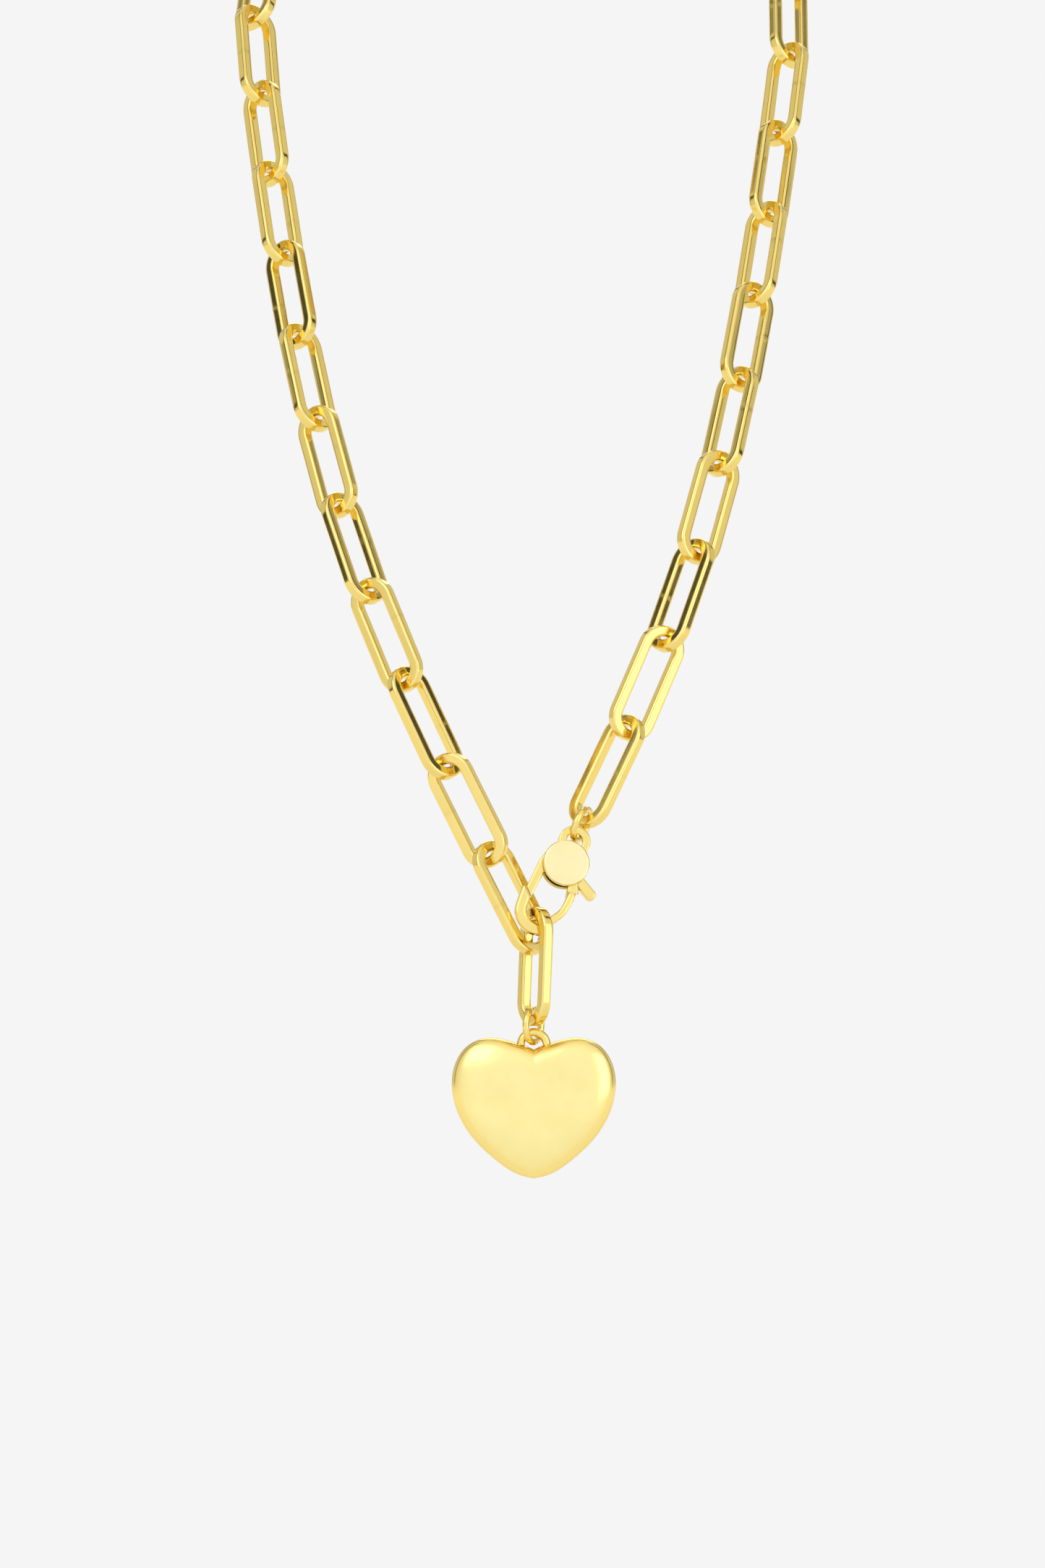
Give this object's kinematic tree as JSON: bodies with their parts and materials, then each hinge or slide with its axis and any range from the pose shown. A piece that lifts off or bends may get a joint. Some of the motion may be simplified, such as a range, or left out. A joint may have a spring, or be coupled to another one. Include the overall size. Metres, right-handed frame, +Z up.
{
  "type": "pendant necklace",
  "caption": "Chain of long oval links closed at the front by a spring-lever hook clasp that carries a puffed heart pendant.",
  "frame": {"origin": "the point where the clasp hook carries the pendant link, at the front of the chest", "axes": "+X to the wearer's left, -Y forwards from the chest, +Z up along the neck"},
  "size_m": [0.0854, 0.0995, 0.2117],
  "materials": {
    "chain_gold": "polished gold plate",
    "ring_gold": "polished gold plate",
    "heart_gold": "mirror-polished gold plate",
    "clasp_gold": "polished gold plate",
    "rivet_gold": "polished gold plate",
    "spring_steel": "drawn spring wire"
  },
  "bodies": {
    "nape_link": {"nape_link": "chain_gold"},
    "left_link_01": {"left_link_01": "chain_gold"},
    "left_link_02": {"left_link_02": "chain_gold"},
    "left_link_03": {"left_link_03": "chain_gold"},
    "left_link_04": {"left_link_04": "chain_gold"},
    "left_link_05": {"left_link_05": "chain_gold"},
    "left_link_06": {"left_link_06": "chain_gold"},
    "left_link_07": {"left_link_07": "chain_gold"},
    "left_link_08": {"left_link_08": "chain_gold"},
    "left_link_09": {"left_link_09": "chain_gold"},
    "left_link_10": {"left_link_10": "chain_gold"},
    "left_link_11": {"left_link_11": "chain_gold"},
    "left_link_12": {"left_link_12": "chain_gold"},
    "left_link_13": {"left_link_13": "chain_gold"},
    "left_link_14": {"left_link_14": "chain_gold"},
    "left_link_15": {"left_link_15": "chain_gold"},
    "left_link_16": {"left_link_16": "chain_gold"},
    "pendant_link": {"pendant_link": "chain_gold"},
    "right_link_01": {"right_link_01": "chain_gold"},
    "right_link_02": {"right_link_02": "chain_gold"},
    "right_link_03": {"right_link_03": "chain_gold"},
    "right_link_04": {"right_link_04": "chain_gold"},
    "right_link_05": {"right_link_05": "chain_gold"},
    "right_link_06": {"right_link_06": "chain_gold"},
    "right_link_07": {"right_link_07": "chain_gold"},
    "right_link_08": {"right_link_08": "chain_gold"},
    "right_link_09": {"right_link_09": "chain_gold"},
    "right_link_10": {"right_link_10": "chain_gold"},
    "right_link_11": {"right_link_11": "chain_gold"},
    "right_link_12": {"right_link_12": "chain_gold"},
    "right_link_13": {"right_link_13": "chain_gold"},
    "right_link_14": {"right_link_14": "chain_gold"},
    "clasp_ring": {"clasp_ring": "ring_gold"},
    "clasp_body": {"clasp_body": "clasp_gold", "clasp_cap": "clasp_gold", "clasp_rivet": "rivet_gold", "clasp_spring": "spring_steel"},
    "clasp_lever": {"clasp_lever": "clasp_gold"},
    "pendant_ring": {"pendant_ring": "ring_gold"},
    "heart": {"heart_loop": "ring_gold", "heart_front_shell": "heart_gold", "heart_back_shell": "heart_gold"}
  },
  "joints": [
    {"name": "left_turn_01", "type": "hinge", "parent": "nape_link", "child": "left_link_01", "pos_m": [-0.00564, 0.09321, 0.17191], "axis": [-0.0288, 0.4764, 0.8787], "range_deg": [-6, 6]},
    {"name": "left_turn_02", "type": "hinge", "parent": "left_link_01", "child": "left_link_02", "pos_m": [-0.01934, 0.09043, 0.16946], "axis": [0.1002, -0.4684, -0.8778], "range_deg": [-6, 6]},
    {"name": "left_turn_03", "type": "hinge", "parent": "left_link_02", "child": "left_link_03", "pos_m": [-0.03032, 0.0838, 0.16336], "axis": [-0.1629, 0.4503, 0.8779], "range_deg": [-6, 6]},
    {"name": "left_turn_04", "type": "hinge", "parent": "left_link_03", "child": "left_link_04", "pos_m": [-0.03729, 0.07495, 0.15471], "axis": [-0.212, 0.4261, 0.8795], "range_deg": [-6, 6]},
    {"name": "left_turn_05", "type": "hinge", "parent": "left_link_04", "child": "left_link_05", "pos_m": [-0.0409, 0.06555, 0.1447], "axis": [-0.2494, 0.3996, 0.8821], "range_deg": [-8, 8]},
    {"name": "left_turn_06", "type": "hinge", "parent": "left_link_05", "child": "left_link_06", "pos_m": [-0.04197, 0.05656, 0.13376], "axis": [0.2776, -0.3741, -0.8848], "range_deg": [-8, 8]},
    {"name": "left_turn_07", "type": "hinge", "parent": "left_link_06", "child": "left_link_07", "pos_m": [-0.04087, 0.04887, 0.12187], "axis": [0.2972, -0.3554, -0.8862], "range_deg": [-8, 8]},
    {"name": "left_turn_08", "type": "hinge", "parent": "left_link_07", "child": "left_link_08", "pos_m": [-0.03909, 0.0418, 0.10969], "axis": [0.3159, -0.3379, -0.8866], "range_deg": [-8, 8]},
    {"name": "left_turn_09", "type": "hinge", "parent": "left_link_08", "child": "left_link_09", "pos_m": [-0.0371, 0.03489, 0.09744], "axis": [0.3374, -0.3173, -0.8862], "range_deg": [-8, 8]},
    {"name": "left_turn_10", "type": "hinge", "parent": "left_link_09", "child": "left_link_10", "pos_m": [-0.03481, 0.02822, 0.08512], "axis": [0.3618, -0.2934, -0.8849], "range_deg": [-8, 8]},
    {"name": "left_turn_11", "type": "hinge", "parent": "left_link_10", "child": "left_link_11", "pos_m": [-0.03204, 0.02196, 0.07268], "axis": [-0.3888, 0.2665, 0.8819], "range_deg": [-8, 8]},
    {"name": "left_turn_12", "type": "hinge", "parent": "left_link_11", "child": "left_link_12", "pos_m": [-0.0286, 0.01633, 0.0601], "axis": [-0.4172, 0.2383, 0.877], "range_deg": [-8, 8]},
    {"name": "left_turn_13", "type": "hinge", "parent": "left_link_12", "child": "left_link_13", "pos_m": [-0.02425, 0.01164, 0.04743], "axis": [-0.4448, 0.2135, 0.8698], "range_deg": [-8, 8]},
    {"name": "left_turn_14", "type": "hinge", "parent": "left_link_13", "child": "left_link_14", "pos_m": [-0.01899, 0.00803, 0.03474], "axis": [-0.4701, 0.1989, 0.8599], "range_deg": [-8, 8]},
    {"name": "left_turn_15", "type": "hinge", "parent": "left_link_14", "child": "left_link_15", "pos_m": [-0.01306, 0.00534, 0.02212], "axis": [0.4977, -0.2037, -0.8431], "range_deg": [-6, 8]},
    {"name": "left_turn_16", "type": "hinge", "parent": "left_link_15", "child": "left_link_16", "pos_m": [-0.00679, 0.00319, 0.00956], "axis": [0.5585, -0.2626, -0.7868], "range_deg": [-8, 4]},
    {"name": "pendant_link_turn", "type": "hinge", "parent": "left_link_16", "child": "pendant_link", "pos_m": [-0.00042, 0.00126, -0.00298], "axis": [0.1287, -0.3862, 0.9134], "range_deg": [-6, 6]},
    {"name": "right_turn_01", "type": "hinge", "parent": "nape_link", "child": "right_link_01", "pos_m": [0.00852, 0.09233, 0.17114], "axis": [-0.0438, -0.4743, -0.8793], "range_deg": [-6, 6]},
    {"name": "right_turn_02", "type": "hinge", "parent": "right_link_01", "child": "right_link_02", "pos_m": [0.02117, 0.08753, 0.16683], "axis": [-0.1117, -0.4617, -0.88], "range_deg": [-6, 6]},
    {"name": "right_turn_03", "type": "hinge", "parent": "right_link_02", "child": "right_link_03", "pos_m": [0.03014, 0.07954, 0.15927], "axis": [0.1669, 0.4405, 0.8821], "range_deg": [-6, 6]},
    {"name": "right_turn_04", "type": "hinge", "parent": "right_link_03", "child": "right_link_04", "pos_m": [0.03531, 0.07026, 0.14984], "axis": [0.2087, 0.4152, 0.8855], "range_deg": [-6, 6]},
    {"name": "right_turn_05", "type": "hinge", "parent": "right_link_04", "child": "right_link_05", "pos_m": [0.03758, 0.06096, 0.13935], "axis": [-0.2399, -0.3891, -0.8894], "range_deg": [-8, 8]},
    {"name": "right_turn_06", "type": "hinge", "parent": "right_link_05", "child": "right_link_06", "pos_m": [0.03752, 0.05251, 0.12794], "axis": [0.2618, 0.3664, 0.8929], "range_deg": [-8, 8]},
    {"name": "right_turn_07", "type": "hinge", "parent": "right_link_06", "child": "right_link_07", "pos_m": [0.03586, 0.04535, 0.11579], "axis": [0.2771, 0.3504, 0.8947], "range_deg": [-8, 8]},
    {"name": "right_turn_08", "type": "hinge", "parent": "right_link_07", "child": "right_link_08", "pos_m": [0.034, 0.03841, 0.10354], "axis": [-0.2943, -0.3324, -0.896], "range_deg": [-8, 8]},
    {"name": "right_turn_09", "type": "hinge", "parent": "right_link_08", "child": "right_link_09", "pos_m": [0.03193, 0.03171, 0.0912], "axis": [0.3139, 0.3118, 0.8968], "range_deg": [-8, 8]},
    {"name": "right_turn_10", "type": "hinge", "parent": "right_link_09", "child": "right_link_10", "pos_m": [0.02953, 0.02535, 0.07873], "axis": [-0.3363, -0.2886, -0.8964], "range_deg": [-8, 8]},
    {"name": "right_turn_11", "type": "hinge", "parent": "right_link_10", "child": "right_link_11", "pos_m": [0.02667, 0.01949, 0.06611], "axis": [-0.3608, -0.2637, -0.8946], "range_deg": [-8, 8]},
    {"name": "right_turn_12", "type": "hinge", "parent": "right_link_11", "child": "right_link_12", "pos_m": [0.0231, 0.0144, 0.05335], "axis": [0.3856, 0.2404, 0.8908], "range_deg": [-8, 8]},
    {"name": "right_turn_13", "type": "hinge", "parent": "right_link_12", "child": "right_link_13", "pos_m": [0.01857, 0.01034, 0.04051], "axis": [-0.406, -0.2261, -0.8855], "range_deg": [-8, 6]},
    {"name": "right_turn_14", "type": "hinge", "parent": "right_link_13", "child": "right_link_14", "pos_m": [0.0131, 0.00733, 0.02776], "axis": [0.4149, 0.2324, 0.8797], "range_deg": [-8, 6]},
    {"name": "clasp_ring_turn", "type": "hinge", "parent": "right_link_14", "child": "clasp_ring", "pos_m": [0.00708, 0.00481, 0.01515], "axis": [-0.4066, -0.2767, -0.8707], "range_deg": [-4, 8]},
    {"name": "clasp_turn", "type": "hinge", "parent": "clasp_ring", "child": "clasp_body", "pos_m": [0.00574, 0.00426, 0.01241], "axis": [0.4008, 0.2975, 0.8665], "range_deg": [-8, 3]},
    {"name": "lever_pivot", "type": "hinge", "parent": "clasp_body", "child": "clasp_lever", "pos_m": [0.00404, 0.00258, 0.00805], "axis": [0.1539, -0.9608, 0.2305], "range_deg": [0, 22], "stiffness_Nm_per_rad": 0.0006, "springref_deg": -25},
    {"name": "ring_swing", "type": "hinge", "parent": "pendant_link", "child": "pendant_ring", "pos_m": [-0.00049, 0, -0.01346], "axis": [0.5117, -0.859, -0.0188], "range_deg": [-8, 8]},
    {"name": "heart_swing", "type": "hinge", "parent": "pendant_ring", "child": "heart", "pos_m": [-0.00049, 0, -0.01656], "axis": [0.4695, 0.8829, 0], "range_deg": [-10, 10]}
  ]
}
